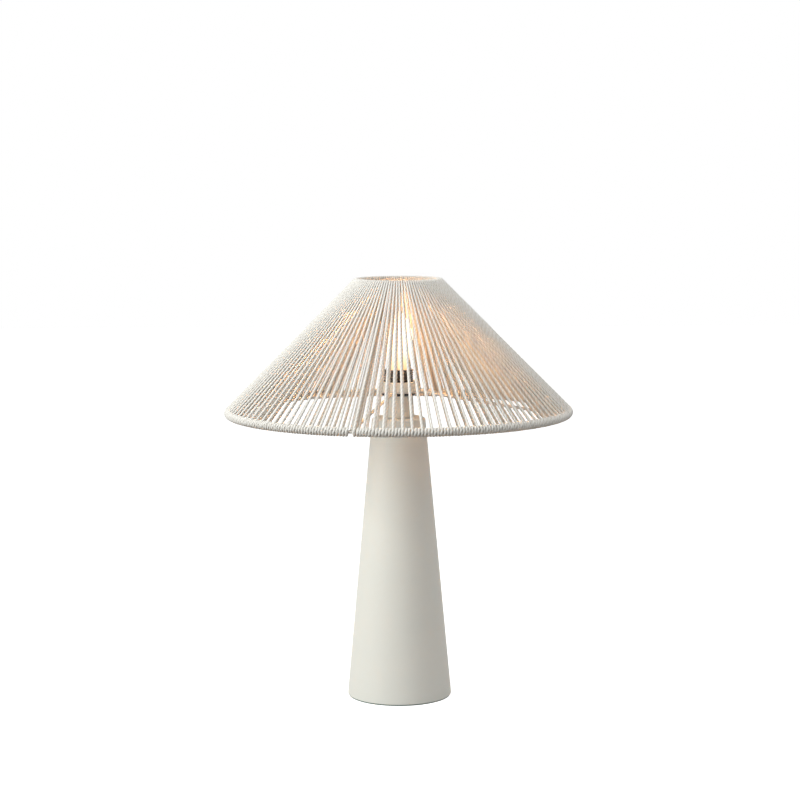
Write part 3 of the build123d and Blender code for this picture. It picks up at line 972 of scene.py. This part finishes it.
def makeWires():
    tree = spokeTree()
    count = wire["ribCount"]
    values = {
        "Wire Radius": wire["radius"], "Sides": wire["sides"], "Count": count,
        "First Angle": wire["firstRib"], "Weld Reach": wire["weldReach"], "Weld Swell": wire["weldSwell"],
        "Step": wire["step"],
    }
    foot = Vector((bottomRing["radius"], 0, bottomRing["height"]))
    head = Vector((topRing["radius"], 0, topRing["height"]))
    seat = (head - foot).normalized() * wire["seat"]
    ribs = applyTree(lineObject("ribLine", [[foot + seat, head - seat]]), tree, values, "shadeRibs")
    place(ribs, "shade", "frame_paint", *[f"shade_rib_{index + 1}" for index in range(count)])
    middle = (bottom("spider_ring") + top("spider_ring")) / 2
    hub = Vector((reach("spider_ring") - wire["hubSeat"], 0, middle))
    seat = (hub - foot).normalized() * wire["seat"]
    arms = applyTree(lineObject("armLine", [[hub, foot + seat]]), tree, values, "carrierArms")
    place(arms, "shade", "frame_paint", *[f"spider_arm_{index + 1}" for index in range(count)])


def makeFrameRings():
    for name, node, size in (("bottomRing", "shade_bottom_ring", bottomRing),
                             ("topRing", "shade_top_ring", topRing)):
        outline = []
        for step in range(wire["sides"]):
            angle = 2 * math.pi * step / wire["sides"]
            outline.append((size["radius"] + wire["radius"] * math.cos(angle),
                            size["height"] + wire["radius"] * math.sin(angle)))
        mesh = turnedMesh(outline, wire["ringSegments"])
        place(makePiece(name, mesh, "frame_paint"), "shade", "frame_paint", node)


def makeCarrierRing():
    low = bottom("spider_ring")
    high = top("spider_ring")
    rim = reach("spider_ring")
    places = ((carrier["bore"], low), (rim, low), (rim, high), (carrier["bore"], high))
    corners = [(*place, carrier["edge"]) for place in places]
    mesh = turnedMesh(rounded(corners, carrier["edgeSteps"]), carrier["segments"])
    place(makePiece("carrierRing", mesh, "frame_paint"), "shade", "frame_paint", "spider_ring")


# Cord winding of the shade

winding = {
    "strands": 120,
    "cordRadius": 0.0020,
    "standOff": 0.0001,
    "ringTurns": 2.5,
    "turnAdvance": math.radians(1.01),
    "lastAdvance": 0.84,   # share of the advance before the last strand of a quarter
    "ribMargin": math.radians(1.12),
    "topCrossing": math.radians(1.5),
    "pointsPerTurn": 28,
    "bottomSway": math.radians(0.07),
    "topSway": math.radians(0.14),
    "step": 0.0014,
    "lay": 0.0128,
    "layDrift": 0.9,
    "driftScale": 14.0,
    "groove": 0.22,
    "topScale": 0.72,
    "profileSides": 8,
    "seed": 11,
}


def ringPoint(size, offset, tubeAngle, azimuth):
    out = size["radius"] + offset * math.cos(tubeAngle)
    height = size["height"] + offset * math.sin(tubeAngle)
    return Vector((out * math.cos(azimuth), out * math.sin(azimuth), height))


def ringTurn(size, offset, tubeStart, turns, azimuthStart, azimuthEnd):
    # Turns round a ring's wire that creep along the ring: under a bottom ring, or over a top ring.
    count = math.ceil(abs(turns) * winding["pointsPerTurn"])
    points = []
    for step in range(count + 1):
        share = step / count
        tubeAngle = tubeStart - 2 * math.pi * turns * share
        azimuth = azimuthStart + (azimuthEnd - azimuthStart) * share
        points.append(ringPoint(size, offset, tubeAngle, azimuth))
    return points


def windingPath(quarter, rng):
    # One unbroken cord: down outside, round the bottom ring, up inside, over the top ring, and so on.
    count = winding["strands"] // wire["ribCount"]
    quarterAngle = 2 * math.pi / wire["ribCount"]
    rib = wire["firstRib"] + (quarter + 1) * quarterAngle
    bare = wire["radius"] + winding["standOff"]
    bottomOffset = bare + winding["cordRadius"]
    topOffset = bare + winding["cordRadius"] * winding["topScale"]
    slope = Vector((topRing["radius"] - bottomRing["radius"], topRing["height"] - bottomRing["height"]))
    outside = math.atan2(-slope.x, slope.y)
    inside = outside + math.pi
    topPitch = quarterAngle / count
    bottomPitch = (quarterAngle - 2 * winding["ribMargin"]) / (count - 1)
    path = []
    for strand in range(count):
        topAngle = rib - (strand + 0.5) * topPitch
        if strand > 0:
            topAngle += rng.uniform(-1, 1) * winding["topSway"]
        path += ringTurn(topRing, topOffset, inside, 0.5, topAngle + winding["topCrossing"], topAngle)
        bottomAngle = rib - winding["ribMargin"] - strand * bottomPitch
        bottomAngle += rng.uniform(-1, 1) * winding["bottomSway"]
        turns = winding["ringTurns"]
        advance = turns * winding["turnAdvance"]
        if strand == count - 2:
            advance *= winding["lastAdvance"]
        if strand == count - 1:
            turns = 0.5
            advance = 0
        path += ringTurn(bottomRing, bottomOffset, outside, turns, bottomAngle, bottomAngle - advance)
    nextTop = rib - (count + 0.5) * topPitch + winding["topCrossing"]
    path.append(ringPoint(topRing, topOffset, inside, nextTop))
    return path


def cordTree():
    # A two-ply cord along a line: the profile has two lobes, and the line's tilt twists them.
    tree, inputs = startTree("twistedCord", {
        "Cord Radius": "NodeSocketFloat", "Step": "NodeSocketFloat", "Lay": "NodeSocketFloat",
        "Lay Drift": "NodeSocketFloat", "Drift Scale": "NodeSocketFloat", "Groove": "NodeSocketFloat",
        "Top Scale": "NodeSocketFloat", "Low": "NodeSocketFloat", "High": "NodeSocketFloat",
        "Sides": "NodeSocketInt",
    })
    line = tree.add("GeometryNodeResampleCurve", {"mode": "LENGTH"},
                    {"Curve": inputs["Geometry"], "Length": inputs["Step"]})
    length = tree.add("GeometryNodeSplineParameter", output="Length")
    drift = tree.add("ShaderNodeTexNoise", {"noise_dimensions": "1D"},
                     {"W": length, "Scale": inputs["Drift Scale"]})
    twist = length * (2 * math.pi) / inputs["Lay"] + (drift - 0.5) * (2 * math.pi) * inputs["Lay Drift"]
    marked = tree.add("GeometryNodeStoreNamedAttribute", {"domain": "POINT"},
                      {"Geometry": line, "Name": "alongCord", "Value": length})
    tilted = tree.add("GeometryNodeSetCurveTilt", None, {"Curve": marked, "Tilt": twist})
    scale = tree.add("ShaderNodeMapRange", None, {
        "Value": tree.height(tree.add("GeometryNodeInputPosition")), "From Min": inputs["Low"],
        "From Max": inputs["High"], "To Min": 1.0, "To Max": inputs["Top Scale"],
    })
    circle = tree.add("GeometryNodeCurvePrimitiveCircle", None,
                      {"Resolution": inputs["Sides"], "Radius": inputs["Cord Radius"]})
    around = tree.add("GeometryNodeSplineParameter", output="Factor")
    plies = (around * (4 * math.pi)).maths("COSINE")
    valley = (0.5 - plies * 0.5) ** 2.0
    shrink = 1 - valley * inputs["Groove"]
    drawnIn = tree.add("ShaderNodeVectorMath", {"operation": "SCALE"},
                       {0: tree.add("GeometryNodeInputPosition"), "Scale": shrink})
    lobed = tree.add("GeometryNodeSetPosition", None, {"Geometry": circle, "Position": drawnIn})
    # the valley is stored for the cord material, which paints shade along it
    profile = tree.add("GeometryNodeStoreNamedAttribute", {"domain": "POINT"},
                       {"Geometry": lobed, "Name": "groove", "Value": valley})
    profile = tree.add("GeometryNodeStoreNamedAttribute", {"domain": "POINT"},
                       {"Geometry": profile, "Name": "acrossPly", "Value": plies})
    cord = tree.add("GeometryNodeCurveToMesh", None,
                    {"Curve": tilted, "Profile Curve": profile, "Scale": scale, "Fill Caps": True})
    smooth = tree.add("GeometryNodeSetShadeSmooth", None, {"Geometry": cord})
    return endTree(tree, smooth, finishes["shade_cord"])


def makeWinding():
    tree = cordTree()
    rng = random.Random(winding["seed"])
    values = {
        "Cord Radius": winding["cordRadius"], "Step": winding["step"], "Lay": winding["lay"],
        "Lay Drift": winding["layDrift"], "Drift Scale": winding["driftScale"],
        "Groove": winding["groove"], "Top Scale": winding["topScale"], "Sides": winding["profileSides"],
        "Low": bottomRing["height"], "High": topRing["height"],
    }
    sectors = [name for name in sorted(nodes) if name.startswith("shade_cord_")]
    perQuarter = len(sectors) // wire["ribCount"]
    for quarter in range(wire["ribCount"]):
        name = f"shadeCord{quarter + 1}"
        path = windingPath(quarter, rng)
        length = sum((after - before).length for before, after in zip(path, path[1:]))
        cord = applyTree(lineObject(name + "Line", [path]), tree, values, name)
        replaced = sectors[quarter * perQuarter:(quarter + 1) * perQuarter]
        place(cord, "shade", "shade_cord", *replaced)
        print(name, "length", round(length, 2), "m,", 2 * len(cord.data.polygons), "triangles")


makeBase()
makePad()
makeGrommet()
print("base made")
makeCup()
makeBarrel()
makeThreadShell()
makeClampRing()
print("lampholder made")
makeBulbCap()
makeBulbHousing()
makeBulbDome()
makeBulbLights()
print("bulb made")
makeWires()
makeFrameRings()
makeCarrierRing()
makeWinding()
print("shade made")


# Studio

studio = {
    "floorSize": 12.0, "floorPaint": (0.35, 0.35, 0.35), "floorRoughness": 0.9, "floorGlow": 0.96,
    "worldLevel": 0.49,
    "aim": (0, 0, 0.3),
    "lamps": {
        "keyLamp": {"power": 64.0, "size": 1.6, "spot": (-2.3, -1.2, 1.3), "colour": (0.955, 0.985, 0.97)},
        "topLamp": {"power": 25.0, "size": 1.8, "spot": (0.1, -0.5, 2.5), "colour": (0.955, 0.985, 0.97)},
        "fillLamp": {"power": 9.0, "size": 1.6, "spot": (2.2, -1.4, 1.5), "colour": (0.97, 0.985, 1.0)},
    },
}


def areaLamp(name, power, size, spot, colour):
    data = bpy.data.lights.new(name, "AREA")
    data.energy = power
    data.size = size
    data.color = colour
    lamp = bpy.data.objects.new(name, data)
    lamp.location = spot
    towards = Vector(studio["aim"]) - Vector(spot)
    lamp.rotation_euler = towards.to_track_quat("-Z", "Y").to_euler()
    scene.collection.objects.link(lamp)


def seenDirectly(tree):
    # 1 where the camera sees a surface, or sees it in gloss or through glass, and 0 where it only lights.
    ray = [tree.add("ShaderNodeLightPath", output=name)
           for name in ("Is Camera Ray", "Is Glossy Ray", "Is Transmission Ray")]
    return (ray[0] + ray[1] + ray[2]).maths("MINIMUM", 1.0)


def floorMaterial(tree):
    paint = tree.surface(studio["floorPaint"], studio["floorRoughness"], Specular_IOR_Level=0.1)
    shine = tree.add("ShaderNodeEmission", None,
                     {"Color": (1, 1, 1, 1), "Strength": seenDirectly(tree) * studio["floorGlow"]})
    return tree.add("ShaderNodeAddShader", None, {0: paint, 1: shine})


def makeWorld():
    world = bpy.data.worlds.new("world")
    scene.world = world
    world.use_nodes = True
    tree = Tree(world.node_tree)
    level = studio["worldLevel"]
    strength = level + seenDirectly(tree) * (1.0 - level)
    light = tree.add("ShaderNodeBackground", None, {"Color": (1, 1, 1, 1), "Strength": strength})
    tree.add("ShaderNodeOutputWorld", None, {"Surface": light})


def makeFloor():
    half = studio["floorSize"] / 2
    data = bpy.data.meshes.new("floor")
    data.from_pydata([(-half, -half, 0), (half, -half, 0), (half, half, 0), (-half, half, 0)], [],
                     [(0, 1, 2, 3)])
    data.materials.append(makeMaterial("studioFloor", floorMaterial))
    floor = bpy.data.objects.new("floor", data)
    scene.collection.objects.link(floor)


makeWorld()
makeFloor()
for lampName, lamp in studio["lamps"].items():
    areaLamp(lampName, **lamp)
scene.view_settings.view_transform = "Standard"
print("studio made")
